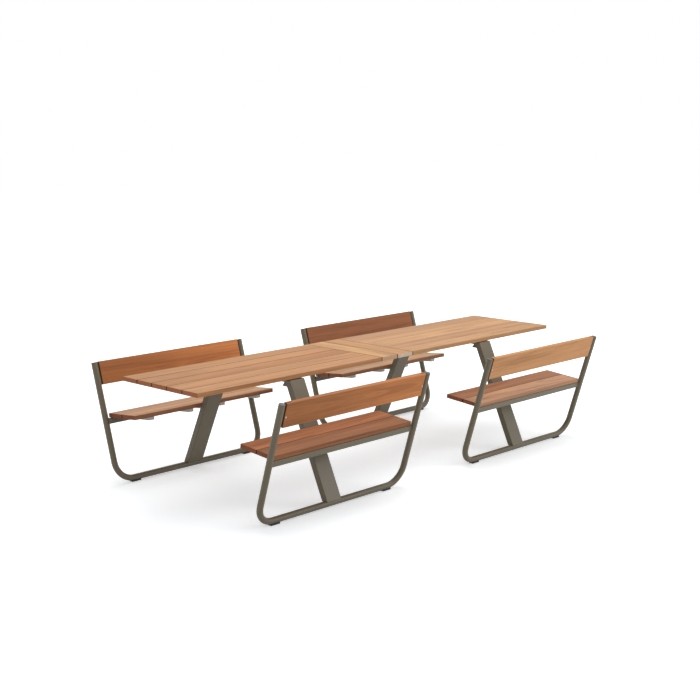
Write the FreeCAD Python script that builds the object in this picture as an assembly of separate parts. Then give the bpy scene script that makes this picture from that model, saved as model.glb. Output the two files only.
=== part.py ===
import FreeCAD, Part
import math
import os

# A long picnic table made of two equal table units, a two-plank insert between them,
# and four benches with backrests. X runs along the table, Y across it, Z is up.
# The origin is on the floor under the middle of the tabletop.

# Planks: the narrow ones make the tabletop and the seats, the wide ones the insert
# and the backrests
plank_thickness = 27.0
plank_width = 133.0
wide_plank_width = 147.0
plank_gap = 3.0
plank_edge_radius = 2.5

# Tabletop
table_height = 750.0
planks_across = 5
unit_length = 1515.0

# Leg pair of one table unit, rectangular tubes that stand on the benches' bottom rails
leg_width = 120.0
leg_depth = 42.0
leg_wall = 3.0
leg_corner_radius = 4.0
leg_lean = 24.4
leg_bottom_y = 631.5
leg_bottom_z = 39.0

# Level shoulder at the top of each leg, mitred to it, with a slanting inner end
shoulder_depth = 40.0
shoulder_reach = 38.0
shoulder_end_wall = 5.0

# Metalwork under the tabletop
beam_width = 80.0
beam_depth = 20.0
beam_wall = 2.5
top_plate_width = 190.0
top_plate_thickness = 4.0
batten_width = 50.0
batten_thickness = 6.0
batten_offset = 540.0
under_top_length = 626.0
joiner_width = 70.0
joiner_length = 640.0
screw_edge_distance = 34.0

# Bench frame, a round tube bent to a U
tube_radius = 19.0
tube_wall = 2.5
bend_radius = 118.0
arm_spacing = 1200.0
arm_lean = 16.5
arm_length = 747.0
rail_y = 634.0
rail_z = 24.0

# End caps of the arms
cap_thickness = 4.0
cap_edge_radius = 1.5
cap_plug_length = 14.0
cap_plug_clearance = 0.1

# Feet under the bottom rail
foot_length = 68.0
foot_width = 32.0
foot_height = 14.0
foot_from_arm = 133.0
foot_edge_radius = 2.0

# Seat, in its own sloping frame: u runs outward from the table-side edge, w is up
seat_inner_y = 479.5
seat_inner_z = 458.0
seat_slope = 5.3
seat_length = 1147.0
seat_rail_depth = 20.0
seat_rail_height = 35.0
seat_rail_inset = 2.0
seat_rail_gap = 3.0
seat_rail_overlap = 9.0
bracket_width = 40.0
bracket_height = 20.0
bracket_places = (-443.0, -132.0, 132.0, 443.0)
bracket_inset = 8.0
stay_reach = 60.0
small_tube_wall = 2.0
small_tube_radius = 2.0
seat_screw_places = (36.0, 98.0, 172.0, 234.0)

# Backrest, between the arms and centred on their axes, with its middle this far up them
backrest_middle = 680.0
backrest_length = 1147.0
tongue_thickness = 5.0
tongue_above_plank_edge = 3.0
tongue_below_arm_end = 2.0
tongue_depth = 38.0
tongue_clearance = 0.5
tongue_end_clearance = 2.0
back_screw_from_end = 10.0
back_screw_below_middle = 8.0
back_screw_length = 22.0

# Corner radius inside tubes whose wall is as thick as their outer corner is round
sharpest_corner_radius = 0.5

# Screws
screw_radius = 3.0
screw_head_radius = 6.0
screw_head_height = 3.0
screw_head_edge = 1.0
screw_bite = 18.0

# Places worked out from the sizes above
plank_pitch = plank_width + plank_gap
wide_plank_pitch = wide_plank_width + plank_gap
top_width = planks_across * plank_width + (planks_across - 1) * plank_gap
under_top = table_height - plank_thickness
unit_middle = wide_plank_pitch + plank_gap / 2 + unit_length / 2
seat_depth = 2 * plank_width + plank_gap
backrest_low = backrest_middle - wide_plank_width / 2
backrest_high = backrest_middle + wide_plank_width / 2
beam_top = under_top - top_plate_thickness
leg_tangent = math.tan(math.radians(leg_lean))
leg_cosine = math.cos(math.radians(leg_lean))

x_axis = FreeCAD.Vector(1, 0, 0)
y_axis = FreeCAD.Vector(0, 1, 0)
z_axis = FreeCAD.Vector(0, 0, 1)
origin = FreeCAD.Vector(0, 0, 0)

os.makedirs("parts", exist_ok=True)


def vector(x, y, z):
    return FreeCAD.Vector(x, y, z)


def save(shape, name):
    shape.exportStep("parts/" + name + ".step")
    print(name, len(shape.Solids), "solids", round(shape.Volume / 1000), "cm3")


def rounded_box(x_size, y_size, z_size, centre, radius):
    box = Part.makeBox(x_size, y_size, z_size)
    box.translate(centre - vector(x_size / 2, y_size / 2, z_size / 2))
    return box.makeFillet(radius, box.Edges)


def rounded_rectangle(width, height, radius):
    """Closed wire in the XY plane, centred on the origin."""
    a = width / 2
    b = height / 2
    corners = ((1, 1, 0), (-1, 1, 90), (-1, -1, 180), (1, -1, 270))
    arcs = []
    for x_sign, y_sign, start in corners:
        centre = vector(x_sign * (a - radius), y_sign * (b - radius), 0)
        arcs.append(Part.makeCircle(radius, centre, z_axis, start, start + 90))
    edges = []
    for index, arc in enumerate(arcs):
        following = arcs[(index + 1) % len(arcs)]
        edges.append(arc)
        edges.append(Part.makeLine(arc.Vertexes[-1].Point, following.Vertexes[0].Point))
    return Part.Wire(Part.__sortEdges__(edges))


def rectangular_bar(width, height, radius, length):
    """Solid bar along +Z from the origin."""
    return Part.Face(rounded_rectangle(width, height, radius)).extrude(vector(0, 0, length))


def rectangular_tube(width, height, wall, radius, length):
    """Tube along +Z from the origin, open at both ends."""
    outer = rectangular_bar(width, height, radius, length)
    inner_radius = max(radius - wall, sharpest_corner_radius)
    inner = rectangular_bar(width - 2 * wall, height - 2 * wall, inner_radius, length)
    return outer.cut(inner)


def prism_across(points, half_width):
    """Solid with a YZ outline, reaching half_width each way along X."""
    corners = [vector(-half_width, y, z) for y, z in points]
    outline = Part.makePolygon(corners + corners[:1])
    return Part.Face(outline).extrude(vector(2 * half_width, 0, 0))


def turned(shape, angle, axis, point=origin):
    copy = shape.copy()
    copy.rotate(point, axis, angle)
    return copy


def moved(shape, x, y, z):
    copy = shape.copy()
    copy.translate(vector(x, y, z))
    return copy


def group(solids):
    return Part.makeCompound(solids)


def screw(length):
    """Screw with its head's underside at the origin, its shank along +Z and its head below."""
    shank = Part.makeCylinder(screw_radius, length)
    head = Part.makeCylinder(screw_head_radius, screw_head_height, vector(0, 0, -screw_head_height))
    head_rim = [edge for edge in head.Edges if edge.BoundBox.ZMax < -screw_head_height / 2]
    head = head.makeFillet(screw_head_edge, head_rim)
    return shank.fuse(head).removeSplitter()


def drilled(shape, screws):
    """The shape with a hole for each screw that passes into it."""
    holes = [item for item in screws if item.BoundBox.intersect(shape.BoundBox)]
    return shape.cut(holes) if holes else shape


# Bench


def arm_frame(shape):
    """From the upright plane of the arms (X, out, up) to the leaning one at the rail."""
    leaning = turned(shape, -arm_lean, x_axis)
    return moved(leaning, 0, rail_y, rail_z)


def seat_frame(shape):
    """From the level frame at the seat's table-side edge to the sloping one."""
    sloping = turned(shape, -seat_slope, x_axis)
    return moved(sloping, 0, seat_inner_y, seat_inner_z)


def u_path():
    half = arm_spacing / 2
    low_left = vector(-half + bend_radius, 0, 0)
    low_right = vector(half - bend_radius, 0, 0)
    side_left = vector(-half, 0, bend_radius)
    side_right = vector(half, 0, bend_radius)
    inset = bend_radius * (1 - math.sqrt(0.5))
    middle_left = vector(-half + inset, 0, inset)
    middle_right = vector(half - inset, 0, inset)
    edges = [
        Part.makeLine(vector(-half, 0, arm_length), side_left),
        Part.Arc(side_left, middle_left, low_left).toShape(),
        Part.makeLine(low_left, low_right),
        Part.Arc(low_right, middle_right, side_right).toShape(),
        Part.makeLine(side_right, vector(half, 0, arm_length)),
    ]
    return Part.Wire(edges)


def u_rod(radius):
    """The bent bar of the bench frame as a solid of the given radius, leaning."""
    section = Part.Wire(Part.makeCircle(radius, vector(-arm_spacing / 2, 0, arm_length), z_axis))
    return arm_frame(u_path().makePipeShell([section], True, False))


def arm_cap(side):
    disc = Part.makeCylinder(tube_radius, cap_thickness)
    rim = [edge for edge in disc.Edges if edge.BoundBox.ZMin > cap_thickness / 2]
    disc = disc.makeFillet(cap_edge_radius, rim)
    plug_radius = tube_radius - tube_wall - cap_plug_clearance
    plug = Part.makeCylinder(plug_radius, cap_plug_length, vector(0, 0, -cap_plug_length))
    cap = disc.fuse(plug).removeSplitter()
    return arm_frame(moved(cap, side * arm_spacing / 2, 0, arm_length))


def foot(side, rod):
    x = side * (arm_spacing / 2 - foot_from_arm)
    block = Part.makeBox(foot_length, foot_width, foot_height)
    block.translate(vector(x - foot_length / 2, rail_y - foot_width / 2, 0))
    edges = [edge for edge in block.Edges if edge.BoundBox.ZLength > foot_height / 2]
    return block.makeFillet(foot_edge_radius, edges).cut(rod)


def seat_rail(rod):
    """Upright rectangular tube between the arms, a little below the seat's outer edge."""
    length = arm_spacing - 2 * seat_rail_overlap
    tube = rectangular_tube(seat_rail_height, seat_rail_depth, small_tube_wall, small_tube_radius, length)
    along_x = moved(turned(tube, 90, y_axis), -length / 2, 0, 0)
    u = seat_depth - seat_rail_inset - seat_rail_depth / 2
    w = -plank_thickness - seat_rail_gap - seat_rail_height / 2
    return seat_frame(moved(along_x, 0, u, w)).cut(rod)


def under_seat_bar(x, inner_end):
    """Rectangular tube from inner_end to the seat rail, closed towards the table."""
    outer_end = seat_depth - seat_rail_inset - seat_rail_depth
    length = outer_end - inner_end
    bar = rectangular_bar(bracket_width, bracket_height, small_tube_radius, length)
    inside = rectangular_bar(bracket_width - 2 * small_tube_wall, bracket_height - 2 * small_tube_wall,
                             small_tube_radius / 2, length)
    tube = bar.cut(moved(inside, 0, 0, small_tube_wall))
    along_u = turned(tube, -90, x_axis)
    return seat_frame(moved(along_u, x, inner_end, -plank_thickness - bracket_height / 2))


def seat_stay(leg_body):
    """The bracket between the inner two, which reaches past the seat's edge to the leg's face."""
    outer_end = seat_depth - seat_rail_inset - seat_rail_depth
    length = outer_end + stay_reach
    tube = rectangular_tube(bracket_width, bracket_height, small_tube_wall, small_tube_radius, length)
    along_u = turned(tube, -90, x_axis)
    placed = seat_frame(moved(along_u, 0, -stay_reach, -plank_thickness - bracket_height / 2))
    pieces = placed.cut(leg_body).Solids
    return max(pieces, key=lambda piece: piece.BoundBox.YMax)


def seat_screws():
    """Screws through the brackets into the underside of both planks."""
    length = bracket_height + screw_bite
    screws = []
    for x in bracket_places + (0.0,):
        for u in seat_screw_places:
            placed = moved(screw(length), x, u, -plank_thickness - bracket_height)
            screws.append(seat_frame(placed))
    return screws


def seat_plank(row, screws):
    """Row 0 is on the table side and row 1 on the backrest side."""
    centre = vector(0, row * plank_pitch + plank_width / 2, -plank_thickness / 2)
    plank = rounded_box(seat_length, plank_width, plank_thickness, centre, plank_edge_radius)
    return drilled(seat_frame(plank), screws)


def back_screw(side):
    """Screw driven from the plank's outer face through the tongue."""
    x = side * (backrest_length / 2 - back_screw_from_end)
    inward = turned(screw(back_screw_length), 90, x_axis)
    height = backrest_middle - back_screw_below_middle
    return arm_frame(moved(inward, x, plank_thickness / 2, height))


def backrest_block(depth, thickness, low, high, side):
    """Box from the arm's axis into the plank, between two heights along the arm."""
    x_size = (arm_spacing - backrest_length) / 2 + depth
    x = side * (arm_spacing / 2 - x_size / 2)
    block = Part.makeBox(x_size, thickness, high - low)
    block.translate(vector(x - x_size / 2, -thickness / 2, low))
    return arm_frame(block)


def tongue(side, rod):
    """Flat plate welded to the arm that sits in a groove across the plank's end."""
    low = backrest_low + tongue_above_plank_edge
    high = arm_length - tongue_below_arm_end
    return backrest_block(tongue_depth, tongue_thickness, low, high, side).cut(rod)


def tongue_groove(side):
    depth = tongue_depth + tongue_end_clearance
    thickness = tongue_thickness + 2 * tongue_clearance
    return backrest_block(depth, thickness, backrest_low, backrest_high, side)


def backrest_plank(screws):
    centre = vector(0, 0, backrest_middle)
    plank = rounded_box(backrest_length, plank_thickness, wide_plank_width, centre, plank_edge_radius)
    grooves = [tongue_groove(-1), tongue_groove(1)]
    return drilled(arm_frame(plank).cut(grooves), screws)


# Table unit


def leg_axis_y(z):
    return leg_bottom_y - (z - leg_bottom_z) * leg_tangent


def mitre_line():
    """Outer and inner corner of the joint between the leg and its shoulder."""
    half = leg_depth / 2 / leg_cosine
    inner_z = beam_top - shoulder_depth
    outer = (leg_axis_y(beam_top) + half, beam_top)
    inner = (leg_axis_y(inner_z) - half, inner_z)
    return outer, inner


def beyond_mitre():
    """The mitre line carried on by its own length at both ends."""
    outer, inner = mitre_line()
    dy = outer[0] - inner[0]
    dz = outer[1] - inner[1]
    return (outer[0] + dy, outer[1] + dz), (inner[0] - dy, inner[1] - dz)


def leg_space(bottom):
    """Large solid on the leg's side of the +Y mitre, above the given height."""
    above, below = beyond_mitre()
    reach = 2 * table_height
    points = [above, below, (below[0], bottom), (reach, bottom), (reach, above[1])]
    return prism_across(points, leg_width)


def beam_space(setback):
    """Large solid on the beam's side of the +Y mitre, which is set back by the given distance."""
    above, below = beyond_mitre()
    reach = -table_height
    points = [above, below, (reach, below[1]), (reach, above[1])]
    return prism_across([(y - setback, z) for y, z in points], leg_width)


def leg_bar(width, depth, radius, bottom):
    """Full bar of the +Y leg, cut level at the bottom and mitred at the top."""
    length = table_height / leg_cosine
    standing = moved(rectangular_bar(width, depth, radius, length), 0, 0, -leg_depth)
    leaning = moved(turned(standing, leg_lean, x_axis), 0, leg_bottom_y, leg_bottom_z)
    return leaning.common(leg_space(bottom))


def leg_solid():
    """The +Y leg with nothing taken out, which its neighbours are cut to."""
    return leg_bar(leg_width, leg_depth, leg_corner_radius, leg_bottom_z)


def leg(rod):
    """Tube closed at the bottom, where it sits over the bench's rail."""
    inside = leg_bar(leg_width - 2 * leg_wall, leg_depth - 2 * leg_wall,
                     leg_corner_radius - leg_wall, leg_bottom_z + leg_wall)
    return leg_solid().cut(inside).cut(rod)


def level_bar(width, depth, radius, middle_z):
    """Full bar along Y, past the mitres at both ends."""
    half_length = mitre_line()[0][0] + shoulder_depth
    bar = rectangular_bar(width, depth, radius, 2 * half_length)
    return moved(turned(bar, -90, x_axis), 0, -half_length, middle_z)


def shoulder():
    """Short level tube on top of the +Y leg, closed at its inner end."""
    middle_z = beam_top - shoulder_depth / 2
    outside = level_bar(leg_width, shoulder_depth, leg_corner_radius, middle_z)
    inside = level_bar(leg_width - 2 * leg_wall, shoulder_depth - 2 * leg_wall,
                       leg_corner_radius - leg_wall, middle_z)
    solid = outside.common(beam_space(0)).cut(beam_space(shoulder_reach))
    return solid.cut(inside.cut(beam_space(shoulder_reach - shoulder_end_wall)))


def cross_beam():
    """Flatter tube between the two shoulders."""
    middle_z = beam_top - beam_depth / 2
    outside = level_bar(beam_width, beam_depth, small_tube_radius, middle_z)
    inside = level_bar(beam_width - 2 * beam_wall, beam_depth - 2 * beam_wall,
                       small_tube_radius / 2, middle_z)
    trimmed = outside.cut(inside).common(beam_space(shoulder_reach))
    return trimmed.common(turned(beam_space(shoulder_reach), 180, z_axis))


def top_screw_rows():
    """Y positions of the two screws in each lengthwise plank."""
    rows = []
    for index in range(planks_across):
        middle = (index - (planks_across - 1) / 2) * plank_pitch
        rows.append(middle - plank_width / 2 + screw_edge_distance)
        rows.append(middle + plank_width / 2 - screw_edge_distance)
    return [row for row in rows if abs(row) < under_top_length / 2 - screw_head_radius]


def top_plate():
    """Flat plate welded on the shoulders and the beam, whose margins are screwed to the planks."""
    plate = Part.makeBox(top_plate_width, under_top_length, top_plate_thickness)
    plate.translate(vector(-top_plate_width / 2, -under_top_length / 2, beam_top))
    return plate


def top_plate_screws():
    """Screws in the middle of the plate's margins beside the shoulders."""
    x = (leg_width + top_plate_width) / 4
    screws = []
    for side in (-1, 1):
        for row in top_screw_rows():
            screws.append(moved(screw(top_plate_thickness + screw_bite), side * x, row, beam_top))
    return screws


def batten(side):
    bar = Part.makeBox(batten_width, under_top_length, batten_thickness)
    x = side * batten_offset - batten_width / 2
    bar.translate(vector(x, -under_top_length / 2, under_top - batten_thickness))
    return bar


def batten_screws():
    screws = []
    for side in (-1, 1):
        for row in top_screw_rows():
            placed = moved(screw(batten_thickness + screw_bite), side * batten_offset, row,
                           under_top - batten_thickness)
            screws.append(placed)
    return screws


def top_plank(index, screws):
    """Lengthwise plank of one table unit; index 0 is at the front."""
    y = (index - (planks_across - 1) / 2) * plank_pitch
    centre = vector(0, y, table_height - plank_thickness / 2)
    plank = rounded_box(unit_length, plank_width, plank_thickness, centre, plank_edge_radius)
    return drilled(plank, screws)


# Insert between the units


def joiner_y():
    return (planks_across - 2) / 2 * plank_pitch


def joiner(side):
    bar = Part.makeBox(joiner_length, joiner_width, batten_thickness)
    bar.translate(vector(-joiner_length / 2, side * joiner_y() - joiner_width / 2,
                         under_top - batten_thickness))
    return bar


def joiner_screws():
    """Screws beside every joint that the two bars bridge."""
    across = joiner_width / 2 - screw_edge_distance / 2
    from_joint = screw_edge_distance + plank_gap / 2
    joints = (-wide_plank_pitch, 0, wide_plank_pitch)
    places = [joint + step for joint in joints for step in (-from_joint, from_joint)]
    end = joiner_length / 2 - screw_edge_distance
    places = [-end] + places + [end]
    screws = []
    for side in (-1, 1):
        for x in places:
            for step in (-across, across):
                screws.append(moved(screw(batten_thickness + screw_bite), x, side * joiner_y() + step,
                                    under_top - batten_thickness))
    return screws


def insert_plank(side, screws):
    centre = vector(side * wide_plank_pitch / 2, 0, table_height - plank_thickness / 2)
    plank = rounded_box(wide_plank_width, top_width, plank_thickness, centre, plank_edge_radius)
    return drilled(plank, screws)


# Assembly


def build_bench():
    """All pieces of one bench on the +Y side, centred on x = 0, keyed by name."""
    outer_rod = u_rod(tube_radius)
    inner_rod = u_rod(tube_radius - tube_wall)
    under_screws = seat_screws()
    rear_screws = [back_screw(-1), back_screw(1)]
    brackets = [under_seat_bar(x, bracket_inset) for x in bracket_places]
    brackets.append(seat_stay(leg_solid()))
    tongues = [tongue(-1, outer_rod), tongue(1, outer_rod)]
    return {
        "u_frame": outer_rod.cut(inner_rod),
        "seat_rail": seat_rail(outer_rod),
        "seat_brackets": group([drilled(bracket, under_screws) for bracket in brackets]),
        "seat_plank_inner": seat_plank(0, under_screws),
        "seat_plank_outer": seat_plank(1, under_screws),
        "backrest_plank": backrest_plank(rear_screws),
        "backrest_tongues": group([drilled(item, rear_screws) for item in tongues]),
        "arm_caps": group([arm_cap(-1), arm_cap(1)]),
        "feet": group([foot(-1, outer_rod), foot(1, outer_rod)]),
        "seat_screws": group(under_screws),
        "backrest_screws": group(rear_screws),
    }


def build_unit(rod):
    """All pieces of one table unit centred on x = 0, keyed by name."""
    under_screws = top_plate_screws() + batten_screws()
    rear_leg = leg(rod)
    rear_shoulder = shoulder()
    pieces = {
        "leg_rear": rear_leg,
        "leg_front": turned(rear_leg, 180, z_axis),
        "shoulder_rear": rear_shoulder,
        "shoulder_front": turned(rear_shoulder, 180, z_axis),
        "cross_beam": cross_beam(),
        "top_plate": drilled(top_plate(), under_screws),
        "top_battens": group([drilled(batten(side), under_screws) for side in (-1, 1)]),
    }
    return pieces, under_screws


def main():
    shared = {name: [] for name in ("arm_caps", "feet", "seat_screws", "backrest_screws")}
    bench = build_bench()
    for row, half_turn in (("front", 180), ("rear", 0)):
        for column, x in (("left", -unit_middle), ("right", unit_middle)):
            for name, shape in bench.items():
                placed = moved(turned(shape, half_turn, z_axis), x, 0, 0)
                if name in shared:
                    shared[name] += placed.Solids
                else:
                    save(placed, row + "_" + column + "_" + name)
    for name, solids in shared.items():
        save(group(solids), name)

    middle_screws = joiner_screws()
    top_screws = list(middle_screws)
    pieces, under_screws = build_unit(u_rod(tube_radius))
    for column, x in (("left", -unit_middle), ("right", unit_middle)):
        for name, shape in pieces.items():
            save(moved(shape, x, 0, 0), column + "_" + name)
        top_screws += [moved(item, x, 0, 0) for item in under_screws]
        near_screws = [moved(item, -x, 0, 0) for item in middle_screws] + under_screws
        for index in range(planks_across):
            plank = moved(top_plank(index, near_screws), x, 0, 0)
            save(plank, column + "_top_plank_" + str(index + 1))
    for side, column in ((-1, "left"), (1, "right")):
        save(insert_plank(side, middle_screws), "insert_plank_" + column)
    save(group([drilled(joiner(side), middle_screws) for side in (-1, 1)]), "joiner_bars")
    save(group(top_screws), "top_screws")


main()
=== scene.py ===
import math
from random import Random

import bmesh
import bpy
from mathutils import Matrix, Vector


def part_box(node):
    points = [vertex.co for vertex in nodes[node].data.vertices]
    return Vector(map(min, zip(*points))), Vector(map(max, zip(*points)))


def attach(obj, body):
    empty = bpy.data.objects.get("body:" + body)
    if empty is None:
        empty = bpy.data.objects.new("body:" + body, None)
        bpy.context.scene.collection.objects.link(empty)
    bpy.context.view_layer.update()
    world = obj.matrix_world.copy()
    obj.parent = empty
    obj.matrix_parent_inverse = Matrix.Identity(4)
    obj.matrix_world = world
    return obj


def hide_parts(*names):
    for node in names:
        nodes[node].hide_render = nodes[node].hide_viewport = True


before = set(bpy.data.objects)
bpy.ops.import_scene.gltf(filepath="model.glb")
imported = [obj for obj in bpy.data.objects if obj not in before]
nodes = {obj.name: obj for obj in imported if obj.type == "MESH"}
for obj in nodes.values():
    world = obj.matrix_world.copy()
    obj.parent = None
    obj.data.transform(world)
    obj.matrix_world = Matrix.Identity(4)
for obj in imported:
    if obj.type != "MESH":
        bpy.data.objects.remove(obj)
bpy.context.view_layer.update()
print("frame loaded,", len(nodes), "nodes")


# Shader helpers

def linear(red, green, blue):
    # screen values from 0 to 255 to the shader's own scale
    shares = [value / 255 for value in (red, green, blue)]
    return tuple(s / 12.92 if s < 0.04045 else ((s + 0.055) / 1.055) ** 2.4 for s in shares) + (1.0,)


class Wire:
    # one output in a material, so that a pattern can be written as a sum
    def __init__(self, tree, socket=None):
        self.tree = tree
        self.socket = socket

    def add(self, kind, settings=None, sockets=None, out=0):
        made = self.tree.nodes.new(kind)
        for name, value in (settings or {}).items():
            if name == "stops":
                ramp = made.color_ramp
                while len(ramp.elements) < len(value):
                    ramp.elements.new(0.5)
                for stop, (place, tint) in zip(ramp.elements, value):
                    stop.position = place
                    stop.color = tint
            else:
                setattr(made, name, value)
        for name, value in (sockets or {}).items():
            if isinstance(value, Wire):
                self.tree.links.new(value.socket, made.inputs[name])
            else:
                made.inputs[name].default_value = value
        return Wire(self.tree, made.outputs[out])

    def output(self, name):
        return Wire(self.tree, self.socket.node.outputs[name])

    def maths(self, operation, first, second=0.0):
        return self.add("ShaderNodeMath", {"operation": operation}, {0: first, 1: second})

    def __add__(self, other):
        return self.maths("ADD", self, other)

    __radd__ = __add__

    def __sub__(self, other):
        return self.maths("SUBTRACT", self, other)

    def __rsub__(self, other):
        return self.maths("SUBTRACT", other, self)

    def __mul__(self, other):
        return self.maths("MULTIPLY", self, other)

    __rmul__ = __mul__

    def __truediv__(self, other):
        return self.maths("DIVIDE", self, other)

    def __rtruediv__(self, other):
        return self.maths("DIVIDE", other, self)

    def __pow__(self, other):
        return self.maths("POWER", self, other)

    def __rpow__(self, other):
        return self.maths("POWER", other, self)

    def __abs__(self):
        return self.maths("ABSOLUTE", self)

    def above(self, low, high):
        # 0 below low, 1 above high, smooth between them
        return self.add("ShaderNodeMapRange", {"interpolation_type": "SMOOTHSTEP"},
                        {"Value": self, "From Min": low, "From Max": high})


def objectPlace(sheet):
    return sheet.add("ShaderNodeTexCoord").output("Object")


def point(sheet, x, y, z):
    return sheet.add("ShaderNodeCombineXYZ", None, {"X": x, "Y": y, "Z": z})


def colourFrom(sheet, red, green, blue):
    return sheet.add("ShaderNodeCombineColor", None, {0: red, 1: green, 2: blue})


def noise(sheet, place, scale=1.0, detail=2.0, rough=0.5):
    return sheet.add("ShaderNodeTexNoise", None,
                     {"Vector": place, "Scale": scale, "Detail": detail, "Roughness": rough})


def tinted(sheet, share, first, second, way="MIX"):
    # a Mix node's colours go in at 6 and 7 and come out at 2
    return sheet.add("ShaderNodeMix", {"data_type": "RGBA", "blend_type": way},
                     {0: share, 6: first, 7: second}, out=2)


def bump(sheet, height, strength, distance):
    return sheet.add("ShaderNodeBump", None, {"Height": height, "Strength": strength, "Distance": distance})


def newMaterial(name):
    material = bpy.data.materials.new(name)
    material.use_nodes = True
    shader = material.node_tree.nodes["Principled BSDF"]
    return material, Wire(material.node_tree), shader


def feed(sheet, shader, **links):
    names = {"colour": "Base Color", "roughness": "Roughness", "normal": "Normal"}
    for name, wire in links.items():
        sheet.tree.links.new(wire.socket, shader.inputs[names[name]])


# Wood

wood = {
    # three sizes of grain: waves per metre along the plank and across the grain, and share of the pattern
    "figure": {"length": 0.7, "width": 34.0, "shift": 0.0, "detail": 3.0, "rough": 0.6, "share": 0.37},
    "streaks": {"length": 1.4, "width": 150.0, "shift": 3.0, "detail": 3.0, "rough": 0.6, "share": 0.37},
    "lines": {"length": 5.0, "width": 620.0, "shift": 7.0, "detail": 2.0, "rough": 0.5, "share": 0.26},
    "stops": (0.39, 0.50, 0.61),    # where in the pattern the wood is dark, even and pale
    "darkCast": (1.0, 0.97, 0.93),
    "paleCast": (0.98, 1.01, 1.0),
    "paleContrast": 0.8,            # share of the contrast that pale grain gets
    "firstSeed": 100,
    "heartAside": 0.08,             # the heart of the tree beside and below the plank, metres
    "heartDepth": (0.06, 0.20),
    "heartTilt": 0.012,             # metres per metre
    "patternShift": (2.0, 60.0),
    "tintSpread": 0.2,              # share of the contrast by which whole planks differ
    "driftLength": 1.3,             # sideways drift of the grain, waves per metre
    "driftWidth": 2.0,
    "wander": 0.013,                # and how far it goes, metres
    "poreLength": 38.0,
    "poreWidth": 1400.0,
    "poreEdges": (0.60, 0.72),      # noise from which a pore starts and is open
    "poreShare": 0.30,
    "poreShade": 0.45,
    "roughness": 0.60,
    "roughSpread": 0.25,
    "endRoughness": 0.2,            # added on end grain
    "gloss": 0.22,
    "lineHeight": 0.5,
    "poreHeight": 0.8,
    "reliefStrength": 0.35,
    "reliefDepth": 0.00012,
    "faceStart": 0.0012,            # a side's own look starts and is full this far inside it, metres
    "faceFull": 0.0002,
}

endGrain = {
    "ringWaves": 420.0,       # per metre
    "ringEdges": (0.35, 0.65),
    "ringShare": 0.7,
    "dotWaves": 900.0,
    "dotShare": 0.3,
    "dark": 0.78,
    "pale": 1.14,
}

joint = {
    "depth": 0.0019,          # how far a joint's shade reaches in from a plank's side, metres
    "endDepth": 0.0042,       # and on end grain
    "softness": 0.5,
    "shade": (0.36, 0.25, 0.21),
}

# contrast is how much darker or lighter the grain gets, linear
plankKinds = {
    "seat": {"width": 0.133, "contrast": 0.36},
    "backrest": {"width": 0.147, "contrast": 0.26},
    "insert": {"width": 0.147, "contrast": 0.28},
    "top": {"width": 0.133, "contrast": 0.28},
}

slopes = {"seat": 5.3, "backrest": 16.5}      # degrees
planksAcross = 5

plankColours = {
    "left_top": (190, 137, 92),
    "left_top_plank_3": (177, 123, 78),
    "left_top_plank_4": (176, 125, 83),
    "left_top_plank_5": (183, 132, 88),
    "right_top": (193, 147, 104),
    "right_top_plank_2": (181, 135, 96),
    "right_top_plank_4": (185, 139, 98),
    "right_top_plank_5": (180, 136, 99),
    "insert_plank_left": (200, 153, 104),
    "insert_plank_right": (187, 138, 93),
    "rear_left_backrest": (192, 119, 68),
    "rear_right_backrest": (153, 96, 63),
    "front_left_backrest": (193, 123, 72),
    "front_right_backrest": (208, 150, 101),
    "rear_left_seat": (186, 141, 105),
    "rear_right_seat": (184, 144, 108),
    "front_left_seat_plank_inner": (166, 102, 62),
    "front_left_seat_plank_outer": (150, 95, 58),
    "front_right_seat_plank_inner": (162, 109, 75),
    # paler than the inner plank: a painted sheen of glancing light
    "front_right_seat_plank_outer": (178, 132, 100),
}

endColours = {
    "left_top": (186, 118, 82),
    "right_top": (190, 146, 112),
    "insert_plank_left": (212, 172, 136),
    "insert_plank_right": (230, 204, 180),
    "seat": (150, 92, 66),
    "backrest": (120, 72, 46),
}

# painted shade: how much darker a plank's long sides are than its faces, standing in for the shade that
# falls on them
paintedSideShade = {
    "": (1.0, 1.0, 1.0),
    "rear_left_seat": (0.70, 0.57, 0.52),
    "rear_right_seat": (0.70, 0.56, 0.51),
}

# painted light: how much lighter a plank gets towards +X, per metre, as if more light fell from the right
paintedLightRamps = {"": 0.0, "rear_left_backrest": 0.40, "front_left_backrest": 0.42}


def matching(table, name):
    # the entry whose key is the longest beginning of the name
    keys = [key for key in table if name.startswith(key)]
    return table[max(keys, key=len)]


def scaled(colour, factor, cast=(1.0, 1.0, 1.0)):
    return [min(1.0, value * factor * share) for value, share in zip(colour[:3], cast)] + [1.0]


def shaded(sheet, colour, share, cast):
    # the colour times the cast, as far as share says
    factor = tinted(sheet, share, (1.0, 1.0, 1.0, 1.0), cast + (1.0,))
    return tinted(sheet, 1.0, colour, factor, "MULTIPLY")


def grainLayer(sheet, along, ring, layer, shift):
    place = point(sheet, along * layer["length"], ring * layer["width"], shift + layer["shift"])
    return noise(sheet, place, detail=layer["detail"], rough=layer["rough"])


def longGrain(sheet, tint, contrast, figure, streaks, lines):
    mix = figure * wood["figure"]["share"] + streaks * wood["streaks"]["share"]
    mix = mix + lines * wood["lines"]["share"]
    dark = scaled(tint, 1 - contrast, wood["darkCast"])
    pale = scaled(tint, 1 + contrast * wood["paleContrast"], wood["paleCast"])
    stops = list(zip(wood["stops"], (dark, tint, pale)))
    return sheet.add("ShaderNodeValToRGB", {"stops": stops}, {"Fac": mix})


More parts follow.
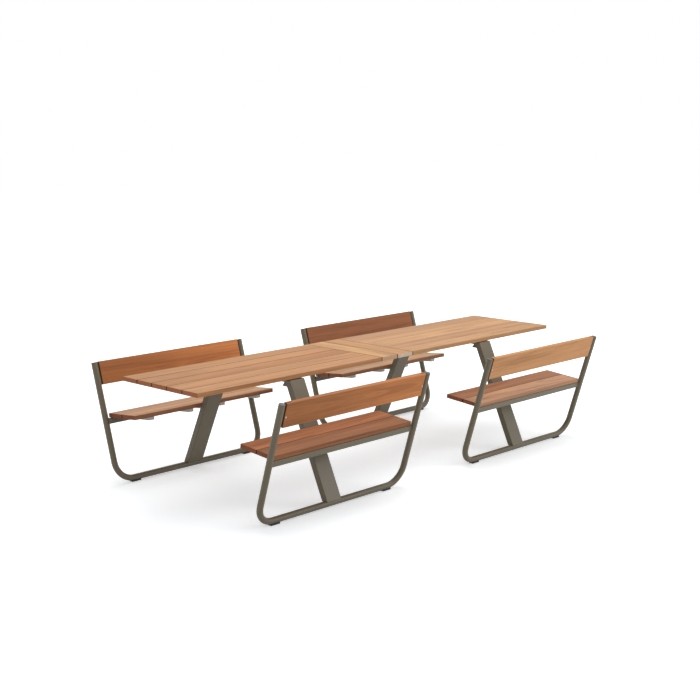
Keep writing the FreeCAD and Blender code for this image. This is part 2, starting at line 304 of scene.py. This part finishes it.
def crossGrain(sheet, tint, ring, across, deep, shift):
    # growth rings and the dots of cut pores
    rings = noise(sheet, point(sheet, ring * endGrain["ringWaves"], shift, 0.0), detail=1.0)
    dotPlace = point(sheet, shift, across * endGrain["dotWaves"], deep * endGrain["dotWaves"])
    dots = noise(sheet, dotPlace, detail=1.0)
    share = rings.above(*endGrain["ringEdges"]) * endGrain["ringShare"] + dots * endGrain["dotShare"]
    return tinted(sheet, share, scaled(tint, endGrain["dark"]), scaled(tint, endGrain["pale"]))


def onFace(coordinate, half):
    # 1 on the two sides that are half away from the plank's middle
    return abs(coordinate).above(half - wood["faceStart"], half - wood["faceFull"])


def inJoints(sides, endFace):
    # 1 where little light gets into a joint, None for a plank without joints
    reach = endFace * (joint["endDepth"] - joint["depth"]) + joint["depth"]
    shade = None
    for coordinate, edge, joined in sides:
        if joined:
            side = ((coordinate - edge) / reach + 1.0).above(0.0, joint["softness"])
            shade = side if shade is None else side.maths("MAXIMUM", shade, side)
    return shade


def woodMaterial(name, plank, seed):
    # grain runs along the plank's own x axis, around a heart line beside the plank
    pick = Random(seed)
    heartY = pick.uniform(-wood["heartAside"], wood["heartAside"])
    heartZ = pick.uniform(*wood["heartDepth"])
    tilt = pick.uniform(-wood["heartTilt"], wood["heartTilt"])
    shift = pick.uniform(*wood["patternShift"])
    spread = plank["contrast"] * wood["tintSpread"]
    tint = scaled(linear(*plank["tint"]), pick.uniform(1 - spread, 1 + spread))
    halfLength, halfWidth = plank["half"]

    material, sheet, shader = newMaterial("wood_" + name)
    local = sheet.add("ShaderNodeMapping", {"vector_type": "TEXTURE"},
                      {"Vector": objectPlace(sheet), "Location": plank["place"], "Rotation": plank["turn"]})
    parts = sheet.add("ShaderNodeSeparateXYZ", None, {0: local})
    along, across, deep = parts.output("X"), parts.output("Y"), parts.output("Z")

    driftPlace = point(sheet, along * wood["driftLength"] + shift, across * wood["driftWidth"],
                       deep * wood["driftWidth"])
    drift = noise(sheet, driftPlace)
    ringY = across - heartY + (drift - 0.5) * (2 * wood["wander"])
    ringZ = deep + heartZ + along * tilt
    ring = (ringY * ringY + ringZ * ringZ) ** 0.5
    figure = grainLayer(sheet, along, ring, wood["figure"], shift)
    streaks = grainLayer(sheet, along, ring, wood["streaks"], shift)
    lines = grainLayer(sheet, along, ring, wood["lines"], shift)
    porePlace = point(sheet, along * wood["poreLength"], across * wood["poreWidth"],
                      deep * wood["poreWidth"])
    openPores = noise(sheet, porePlace, detail=1.0).above(*wood["poreEdges"])

    colour = longGrain(sheet, tint, plank["contrast"], figure, streaks, lines)
    colour = tinted(sheet, openPores * wood["poreShare"], colour, scaled(tint, wood["poreShade"]))
    # painted shade on the long sides of some planks
    colour = shaded(sheet, colour, onFace(across, halfWidth), matching(paintedSideShade, name))
    # painted light, growing towards +X
    paintedLightRamp = along * matching(paintedLightRamps, name) + 1.0
    colour = tinted(sheet, 1.0, colour, colourFrom(sheet, paintedLightRamp, paintedLightRamp, paintedLightRamp), "MULTIPLY")

    endFace = onFace(along, halfLength)
    colour = tinted(sheet, endFace, colour,
                    crossGrain(sheet, linear(*plank["endTint"]), ring, across, deep, shift))
    outwards = (across * -1, across, along * -1, along)
    edges = (halfWidth, halfWidth, halfLength, halfLength)
    shade = inJoints(zip(outwards, edges, plank["joints"]), endFace)
    if shade is not None:
        colour = shaded(sheet, colour, shade, joint["shade"])

    roughness = wood["roughness"] + (streaks - 0.5) * wood["roughSpread"] + endFace * wood["endRoughness"]
    relief = lines * wood["lineHeight"] - openPores * wood["poreHeight"]
    feed(sheet, shader, colour=colour, roughness=roughness,
         normal=bump(sheet, relief, wood["reliefStrength"], wood["reliefDepth"]))
    shader.inputs["Specular IOR Level"].default_value = wood["gloss"]
    return material


def plankLayout(kind, name):
    # how a plank is turned, and which of its own sides -Y, +Y, -X and +X have a joint
    rear = "rear" in name
    lean = math.radians(slopes.get(kind, 0.0)) * (1 if rear else -1)
    quarter = math.radians(90)
    if kind == "seat":
        outward = ("outer" in name) == rear
        return (-lean, 0.0, 0.0), (outward, not outward, False, False)
    if kind == "backrest":
        return (quarter - lean, 0.0, 0.0), (False, False, False, False)
    if kind == "insert":
        return (0.0, 0.0, quarter), (True, True, False, False)
    left = name.startswith("left")
    number = int(name[-1])
    return (0.0, 0.0, 0.0), (left and number > 1, left and number < planksAcross, not left, left)


planks = [name for name in sorted(nodes) if "plank" in name]
for count, name in enumerate(planks, 1):
    kind = next(kind for kind in plankKinds if kind in name)
    low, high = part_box(name)
    length = high.y - low.y if kind == "insert" else high.x - low.x
    turn, joints = plankLayout(kind, name)
    plank = {
        "tint": matching(plankColours, name),
        "endTint": next(tint for key, tint in endColours.items() if key in name),
        "contrast": plankKinds[kind]["contrast"],
        "half": (length / 2, plankKinds[kind]["width"] / 2),
        "place": (low + high) / 2,
        "turn": turn,
        "joints": joints,
    }
    nodes[name].data.materials.clear()
    nodes[name].data.materials.append(woodMaterial(name, plank, wood["firstSeed"] + count))
print("wood on", len(planks), "planks")


# Powder coat, plastic and steel

oliveCoat = {
    "tint": (113, 102, 80),
    "speck": (96, 86, 65),
    "speckEdges": (0.40, 0.64),
    "speckShare": 0.45,
    "cloudWaves": 5.0,        # broad clouds of the speck's colour, waves per metre
    "cloudEdges": (0.3, 0.75),
    "cloudShare": 0.2,
    "roughness": 0.46,
    "cloudRoughness": 0.12,
    "peelRoughness": 0.1,
    "peelWaves": 900.0,
    "peelStrength": 0.25,
    "peelHeight": 0.00008,
}
greyCoat = dict(oliveCoat, tint=(206, 207, 200), speck=(186, 188, 180), roughness=0.5)


def coatMaterial(name, coat):
    material, sheet, shader = newMaterial(name)
    spot = objectPlace(sheet)
    fine = noise(sheet, spot, coat["peelWaves"])
    broad = noise(sheet, spot, coat["cloudWaves"], detail=3.0)
    specks = fine.above(*coat["speckEdges"]) * coat["speckShare"]
    clouds = broad.above(*coat["cloudEdges"]) * coat["cloudShare"]
    colour = tinted(sheet, specks + clouds, linear(*coat["tint"]), linear(*coat["speck"]))
    roughness = coat["roughness"] + (broad - 0.5) * coat["cloudRoughness"]
    roughness = roughness + (fine - 0.5) * coat["peelRoughness"]
    feed(sheet, shader, colour=colour, roughness=roughness,
         normal=bump(sheet, fine, coat["peelStrength"], coat["peelHeight"]))
    return material


benchCoat = coatMaterial("coat_bench", oliveCoat)
tableCoat = coatMaterial("coat_table", oliveCoat)
bracketCoat = coatMaterial("coat_bracket", greyCoat)

rubber = {
    "tint": (38, 36, 33),
    "roughness": 0.7,
    "grainWaves": 700.0,
    "grainStrength": 0.3,
    "grainHeight": 0.0001,
    "wornWaves": 22.0,
    "wornEdges": (0.45, 0.8),
    "wornShare": 0.6,
    "wornGain": 1.5,          # worn places are this many times as light, and a little more
    "wornLift": 0.01,
    "wornRoughness": 0.2,
}
plastic = dict(rubber, tint=(78, 77, 71), roughness=0.5, grainWaves=1100.0)


def plasticMaterial(name, look):
    material, sheet, shader = newMaterial(name)
    spot = objectPlace(sheet)
    fine = noise(sheet, spot, look["grainWaves"])
    worn = noise(sheet, spot, look["wornWaves"], detail=3.0)
    tint = linear(*look["tint"])
    lighter = [min(1.0, value * look["wornGain"] + look["wornLift"]) for value in tint[:3]] + [1.0]
    colour = tinted(sheet, worn.above(*look["wornEdges"]) * look["wornShare"], tint, lighter)
    feed(sheet, shader, colour=colour, roughness=look["roughness"] + (worn - 0.5) * look["wornRoughness"],
         normal=bump(sheet, fine, look["grainStrength"], look["grainHeight"]))
    return material


footRubber = plasticMaterial("rubber_foot", rubber)
capPlastic = plasticMaterial("plastic_cap", plastic)

steel = {
    "tint": (206, 204, 200),
    "dull": (168, 165, 160),
    "dullWaves": 60.0,
    "roughness": 0.28,
    "roughSpread": 0.2,
    "brushWaves": 1600.0,
    "brushStrength": 0.15,
    "brushHeight": 0.00005,
}


def steelMaterial(name):
    material, sheet, shader = newMaterial(name)
    spot = objectPlace(sheet)
    fine = noise(sheet, spot, steel["brushWaves"])
    broad = noise(sheet, spot, steel["dullWaves"])
    colour = tinted(sheet, broad, linear(*steel["tint"]), linear(*steel["dull"]))
    feed(sheet, shader, colour=colour, roughness=steel["roughness"] + fine * steel["roughSpread"],
         normal=bump(sheet, fine, steel["brushStrength"], steel["brushHeight"]))
    shader.inputs["Metallic"].default_value = 1.0
    return material


screwSteel = steelMaterial("steel_screw")

finishes = {
    "u_frame": benchCoat,
    "seat_rail": benchCoat,
    "backrest_tongues": benchCoat,
    "brackets": bracketCoat,
    "screws": screwSteel,
    "feet": footRubber,
    "arm_caps": capPlastic,
}

for name in sorted(set(nodes) - set(planks)):
    finish = next((finishes[ending] for ending in finishes if name.endswith(ending)), tableCoat)
    nodes[name].data.materials.clear()
    nodes[name].data.materials.append(finish)
print("metal, plastic and steel done")


# Screws: button heads with a hex socket, one on every screw of the frame

touching = 0.00001            # metres, corners closer than this are one

screwHead = {
    "radius": 0.0058,
    "height": 0.0028,
    "crown": (0.72, 0.88),    # the dome's points, as shares of the radius and the height
    "flank": (0.95, 0.5),
    "socketRadius": 0.0022,
    "socketDepth": 0.0016,
    "steps": 12,
    "plainHeight": 0.003,     # the plain head that it replaces
    "flatness": 0.0001,
}


def headTemplate():
    # profile from the socket's floor to the head's rim, spun round z
    wide, tall = screwHead["radius"], screwHead["height"]
    socket, floor = screwHead["socketRadius"], tall - screwHead["socketDepth"]
    outline = [(0.0, floor), (socket, floor), (socket, tall)]
    outline += [(wide * out, tall * up) for out, up in (screwHead["crown"], screwHead["flank"])]
    outline += [(wide, 0.0), (0.0, 0.0)]
    made = bmesh.new()
    corners = [made.verts.new((x, 0.0, z)) for x, z in outline]
    edges = [made.edges.new(pair) for pair in zip(corners, corners[1:])]
    bmesh.ops.spin(made, geom=corners + edges, cent=(0, 0, 0), axis=(0, 0, 1), angle=math.tau,
                   steps=screwHead["steps"], use_merge=True)
    bmesh.ops.remove_doubles(made, verts=made.verts[:], dist=touching)

    # every other point of the socket moves in to the middle of a flat, which makes a hexagon
    flat = math.cos(math.pi / 6)
    inner, outer = 0.5 * socket, 1.1 * socket      # only the socket's wall lies between these
    for vert in made.verts:
        if inner < vert.co.xy.length < outer:
            step = round(math.atan2(vert.co.y, vert.co.x) / (math.tau / screwHead["steps"]))
            if step % 2:
                vert.co.xy *= flat
    bmesh.ops.recalc_face_normals(made, faces=made.faces[:])
    for face in made.faces:
        reaches = [vert.co.xy.length for vert in face.verts]
        face.smooth = min(reaches) > inner and max(reaches) > outer     # the dome alone
    mesh = bpy.data.meshes.new("head_template")
    made.to_mesh(mesh)
    made.free()
    return mesh


def islandCorners(node):
    # one list of points for each screw in the node
    made = bmesh.new()
    made.from_mesh(nodes[node].data)
    bmesh.ops.remove_doubles(made, verts=made.verts[:], dist=touching)
    left = set(made.verts)
    islands = []
    while left:
        stack = [left.pop()]
        island = []
        while stack:
            vert = stack.pop()
            island.append(vert.co.copy())
            for edge in vert.link_edges:
                other = edge.other_vert(vert)
                if other in left:
                    left.remove(other)
                    stack.append(other)
        islands.append(island)
    made.free()
    return islands


def addPiece(name, made, finish):
    mesh = bpy.data.meshes.new(name)
    made.to_mesh(mesh)
    made.free()
    mesh.materials.append(finish)
    piece = bpy.data.objects.new(name, mesh)
    bpy.context.scene.collection.objects.link(piece)
    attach(piece, "root")
    return piece


def screwHeads(node, name, outward, template):
    # outward gives the direction a head faces, from where the screw is
    made = bmesh.new()
    for island in islandCorners(node):
        middle = sum(island, Vector()) / len(island)
        facing = outward(middle)
        top = max(corner.dot(facing) for corner in island)
        rim = [corner for corner in island if top - corner.dot(facing) < screwHead["flatness"]]
        centre = sum(rim, Vector()) / len(rim) - facing * screwHead["plainHeight"]
        before = len(made.verts)
        made.from_mesh(template)
        made.verts.ensure_lookup_table()
        place = Matrix.Translation(centre) @ facing.to_track_quat("Z", "Y").to_matrix().to_4x4()
        bmesh.ops.transform(made, matrix=place, verts=made.verts[before:])
    piece = addPiece(name, made, screwSteel)
    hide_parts(node)


def benchSide(place):
    return 1.0 if place.y > 0 else -1.0


def behindBackrest(place):
    # square to the arms, away from the table
    angle = math.radians(slopes["backrest"])
    return Vector((0.0, benchSide(place) * math.cos(angle), -math.sin(angle)))


def underSeat(place):
    angle = math.radians(slopes["seat"])
    return Vector((0.0, -benchSide(place) * math.sin(angle), -math.cos(angle)))


def underTop(place):
    return Vector((0.0, 0.0, -1.0))


template = headTemplate()
screwHeads("seat_screws", "seat_screw_heads", underSeat, template)
screwHeads("backrest_screws", "backrest_screw_heads", behindBackrest, template)
screwHeads("top_screws", "top_screw_heads", underTop, template)
print("screw heads done")


# Weld beads, small ripples under the powder coat

weld = {
    "radius": 0.0026,
    "tongueRadius": 0.0017,
    "ripple": 0.86,           # every other ring is this much thinner
    "pitch": 0.0032,
    "sides": 6,
    "aside": 0.0004,          # how far a bead's middle lies off a flat side, metres
    "proud": 0.0006,          # and off a round tube
    "tongueProud": 0.0003,
    "leastBulge": 0.009,      # keeps a bead on the tube's side where the rail is wider than the tube
    "belowTop": 0.002,        # where a beam's bead stops
    "footSteps": 4,
}

# the bent tube, rail and tongues of a rear bench: from the table's middle line and the ground, metres
benchFrame = {
    "tube": 0.019,            # radius
    "railY": 0.634,           # middle of the bottom rail
    "railZ": 0.024,
    "seatY": 0.4795,          # the seat's inner upper edge
    "seatZ": 0.458,
    "seatRailAlong": 0.257,   # the seat rail's middle, along the seat and square to it
    "seatRailUp": -0.0475,
    "seatRailHalf": (0.010, 0.0175),
    "tongueEnds": (0.612, 0.743),    # up the arm from the bottom rail
    "tongueHalf": 0.0025,
    "beamSlope": 0.70,        # how much a beam's ends reach out, per metre up
}

frameLow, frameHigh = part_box("rear_right_u_frame")
legLow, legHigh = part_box("right_leg_rear")
beamLow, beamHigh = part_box("right_cross_beam")
unitX = (frameLow.x + frameHigh.x) / 2
armX = (frameHigh.x - frameLow.x) / 2 - benchFrame["tube"]


def evenly(corners, pitch):
    # points at an even pitch along straight runs
    path = [Vector(corners[0])]
    for first, second in zip(corners, corners[1:]):
        run = Vector(second) - Vector(first)
        steps = max(1, round(run.length / pitch))
        path += [Vector(first) + run * (step / steps) for step in range(1, steps + 1)]
    return path


def weldBead(made, path, radius, upright):
    def frameAt(index):
        ahead = (path[min(index + 1, len(path) - 1)] - path[max(index - 1, 0)]).normalized()
        side = ahead.cross(Vector(upright)).normalized()
        size = radius * (weld["ripple"] if index % 2 else 1.0)
        turn = Matrix((side * size, side.cross(ahead) * size, ahead)).transposed().to_4x4()
        return Matrix.Translation(path[index]) @ turn

    ring = bmesh.ops.create_circle(made, cap_ends=True, segments=weld["sides"], radius=1.0,
                                   matrix=frameAt(0))
    edges = list({edge for vert in ring["verts"] for edge in vert.link_edges})
    for index in range(1, len(path)):
        grown = bmesh.ops.extrude_edge_only(made, edges=edges)["geom"]
        verts = [item for item in grown if isinstance(item, bmesh.types.BMVert)]
        edges = [item for item in grown if isinstance(item, bmesh.types.BMEdge)]
        step = frameAt(index) @ frameAt(index - 1).inverted()
        bmesh.ops.transform(made, matrix=step, verts=verts)
    bmesh.ops.contextual_create(made, geom=edges)


def atSeat(along, up):
    angle = math.radians(slopes["seat"])
    y = benchFrame["seatY"] + along * math.cos(angle) + up * math.sin(angle)
    z = benchFrame["seatZ"] - along * math.sin(angle) + up * math.cos(angle)
    return y, z


def railEndPath(side):
    # round the seat rail where it meets the arm's tube
    along, up = benchFrame["seatRailAlong"], benchFrame["seatRailUp"]
    halfAlong, halfUp = [half + weld["aside"] for half in benchFrame["seatRailHalf"]]
    turns = [(0, -1), (1, -1), (1, 1), (-1, 1), (-1, -1), (0, -1)]
    corners = [(0.0, along + halfAlong * out, up + halfUp * rise) for out, rise in turns]
    lean = math.radians(slopes["backrest"])
    path = []
    for spot in evenly(corners, weld["pitch"]):
        y, z = atSeat(spot.y, spot.z)
        off = (y - benchFrame["railY"]) * math.cos(lean) - (z - benchFrame["railZ"]) * math.sin(lean)
        bulge = math.sqrt(max(benchFrame["tube"] ** 2 - off ** 2, weld["leastBulge"] ** 2))
        path.append(Vector((side * (armX - bulge - weld["proud"]), y, z)))
    return path


def tonguePath(side, face):
    # along one face of a backrest's tongue, up the arm
    lean = math.radians(slopes["backrest"])
    off = face * (benchFrame["tongueHalf"] + weld["proud"])
    bulge = math.sqrt(benchFrame["tube"] ** 2 - off ** 2)
    x = side * (armX - bulge - weld["tongueProud"])
    ends = []
    for up in benchFrame["tongueEnds"]:
        y = benchFrame["railY"] + off * math.cos(lean) + up * math.sin(lean)
        z = benchFrame["railZ"] - off * math.sin(lean) + up * math.cos(lean)
        ends.append((x, y, z))
    return evenly(ends, weld["pitch"])


def legFootPath():
    # round the leg's foot on the bottom rail
    half = math.acos((legLow.z - benchFrame["railZ"]) / benchFrame["tube"])
    tube = benchFrame["tube"] + weld["proud"]
    end = (legHigh.x - legLow.x) / 2 + weld["proud"]
    steps = weld["footSteps"]
    arc = [half * step / steps for step in range(-steps, steps + 1)]
    corners = [(0.0, -half)]
    corners += [(end, angle) for angle in arc]
    corners += [(-end, -angle) for angle in arc]
    corners += [(0.0, -half)]
    spots = []
    for x, angle in corners:
        y = benchFrame["railY"] + tube * math.sin(angle)
        z = benchFrame["railZ"] + tube * math.cos(angle)
        spots.append((x, y, z))
    return evenly(spots, weld["pitch"])


def beamEndPath():
    # down one side of the cross beam's end, under it and up the other side
    wide = (beamHigh.x - beamLow.x) / 2 + weld["aside"]
    top, low = beamHigh.z - weld["belowTop"], beamLow.z - weld["aside"]
    lowY = beamHigh.y - (beamHigh.z - beamLow.z) * benchFrame["beamSlope"]
    topY = lowY + (top - low) * benchFrame["beamSlope"]
    corners = [(-wide, topY, top), (-wide, lowY, low), (wide, lowY, low), (wide, topY, top)]
    return evenly(corners, weld["pitch"])


def weldPiece(name, paths, finish):
    # the same beads at the rear and at the front of both table units
    places = [Matrix.Translation((x, 0.0, 0.0)) @ Matrix.Rotation(turn, 4, "Z")
              for x in (-unitX, unitX) for turn in (0.0, math.pi)]
    made = bmesh.new()
    for place in places:
        for path, radius, upright in paths:
            before = len(made.verts)
            weldBead(made, path, radius, upright)
            made.verts.ensure_lookup_table()
            bmesh.ops.transform(made, matrix=place, verts=made.verts[before:])
    bmesh.ops.recalc_face_normals(made, faces=made.faces[:])
    for face in made.faces:
        face.smooth = True
    addPiece(name, made, finish)
    print(name, len(paths) * len(places), "beads")


thick, thin = weld["radius"], weld["tongueRadius"]
benchPaths = [(railEndPath(side), thick, (1.0, 0.0, 0.0)) for side in (-1, 1)]
benchPaths += [(tonguePath(side, face), thin, (1.0, 0.0, 0.0)) for side in (-1, 1) for face in (-1, 1)]
weldPiece("bench_welds", benchPaths, benchCoat)
weldPiece("leg_foot_welds", [(legFootPath(), thick, (0.0, 0.0, 1.0))], tableCoat)
weldPiece("beam_welds", [(beamEndPath(), thick, (0.0, 1.0, 0.0))], tableCoat)


# Floor, light and camera

studio = {
    "worldDiffuse": 0.55,     # the white surroundings' strength as light on the object
    "floorSize": 30.0,
    "floorSeen": 0.97,        # how white the floor is to the eye
    "floorBounce": 0.65,      # and to the light that it throws back
    "floorCast": (0.970, 1.0, 1.022),    # keeps the shadows neutral under warm wood
    "floorGlow": 0.43,
    "fadeGlow": 0.5,          # added where the floor fades to pure white
    "whiteFrom": 2.2,         # metres from the middle, where the floor starts to fade
    "whiteAt": 4.6,
    "paperWaves": 0.8,        # faint unevenness
    "paperDepth": 0.004,
    "overhead": {"place": (0.8, 0.9, 5.2), "size": 5.0, "power": 165.0},
    "front": {"place": (4.2, -6.0, 2.3), "size": 3.0, "power": 115.0},
    "aim": (0.0, 0.0, 0.4),
}

view = {
    "place": (-6.0337, -5.62035, 2.22412),
    "yaw": 46.61,             # degrees from +Y towards +X
    "pitch": -10.24,
    "roll": 0.16,
    "lens": 65.087,           # millimetres, as is the sensor's width
    "sensor": 36.0,
}


def seenDirectly(sheet):
    # 1 for what the camera sees, also in a reflection or through glass
    path = sheet.add("ShaderNodeLightPath")
    seen = path.output("Is Camera Ray")
    for name in ("Is Glossy Ray", "Is Transmission Ray"):
        seen = seen.maths("MAXIMUM", seen, path.output(name))
    return seen


def floorMaterial():
    # matte white paper that glows by itself, more so away from the middle
    material, sheet, shader = newMaterial("floor_white")
    tree = material.node_tree
    tree.nodes.remove(shader)
    seen = seenDirectly(sheet)
    spot = objectPlace(sheet)
    paper = noise(sheet, spot, studio["paperWaves"])
    far = sheet.add("ShaderNodeVectorMath", {"operation": "LENGTH"}, {0: spot}, out=1)
    level = seen * (studio["floorSeen"] - studio["floorBounce"]) + studio["floorBounce"]
    level = level + (paper - 0.5) * studio["paperDepth"]
    cast = studio["floorCast"]
    matte = sheet.add("ShaderNodeBsdfDiffuse", None,
                      {"Color": colourFrom(sheet, level * cast[0], level * cast[1], level * cast[2])})
    fading = far.above(studio["whiteFrom"], studio["whiteAt"])
    strength = seen * (fading * studio["fadeGlow"] + studio["floorGlow"])
    glow = sheet.add("ShaderNodeEmission", None, {"Color": cast + (1.0,), "Strength": strength})
    total = sheet.add("ShaderNodeAddShader", None, {0: matte, 1: glow})
    tree.links.new(total.socket, tree.nodes["Material Output"].inputs["Surface"])
    return material


def stageFloor():
    made = bmesh.new()
    bmesh.ops.create_grid(made, x_segments=2, y_segments=2, size=studio["floorSize"])
    mesh = bpy.data.meshes.new("floor")
    made.to_mesh(mesh)
    made.free()
    mesh.materials.append(floorMaterial())
    floor = bpy.data.objects.new("floor", mesh)
    bpy.context.scene.collection.objects.link(floor)


def softLight(name, place, size, power):
    lamp = bpy.data.lights.new(name, "AREA")
    lamp.shape = "SQUARE"
    lamp.size = size
    lamp.energy = power
    holder = bpy.data.objects.new(name, lamp)
    holder.location = place
    holder.rotation_mode = "QUATERNION"
    holder.rotation_quaternion = (Vector(studio["aim"]) - Vector(place)).to_track_quat("-Z", "Y")
    bpy.context.scene.collection.objects.link(holder)


def studioWorld():
    world = bpy.data.worlds.new("studio")
    world.use_nodes = True
    bpy.context.scene.world = world
    tree = world.node_tree
    strength = seenDirectly(Wire(tree)) * (1 - studio["worldDiffuse"]) + studio["worldDiffuse"]
    background = tree.nodes["Background"]
    tree.links.new(strength.socket, background.inputs["Strength"])
    background.inputs["Color"].default_value = (1.0, 1.0, 1.0, 1.0)


def photoCamera():
    yaw, pitch, roll = [math.radians(view[name]) for name in ("yaw", "pitch", "roll")]
    ahead = Vector((math.sin(yaw) * math.cos(pitch), math.cos(yaw) * math.cos(pitch), math.sin(pitch)))
    level = Vector((math.cos(yaw), -math.sin(yaw), 0.0))
    upright = level.cross(ahead)
    right = level * math.cos(roll) + upright * math.sin(roll)
    top = upright * math.cos(roll) - level * math.sin(roll)
    lens = bpy.data.cameras.new("camera")
    lens.sensor_width = view["sensor"]
    lens.lens = view["lens"]
    camera = bpy.data.objects.new("camera", lens)
    turn = Matrix((right, top, -ahead)).transposed().to_4x4()
    camera.matrix_world = Matrix.Translation(view["place"]) @ turn
    bpy.context.scene.collection.objects.link(camera)
    bpy.context.scene.camera = camera


stageFloor()
for name in ("overhead", "front"):
    softLight(name, **studio[name])
studioWorld()
photoCamera()
bpy.context.scene.view_settings.view_transform = "Standard"
print("studio ready")
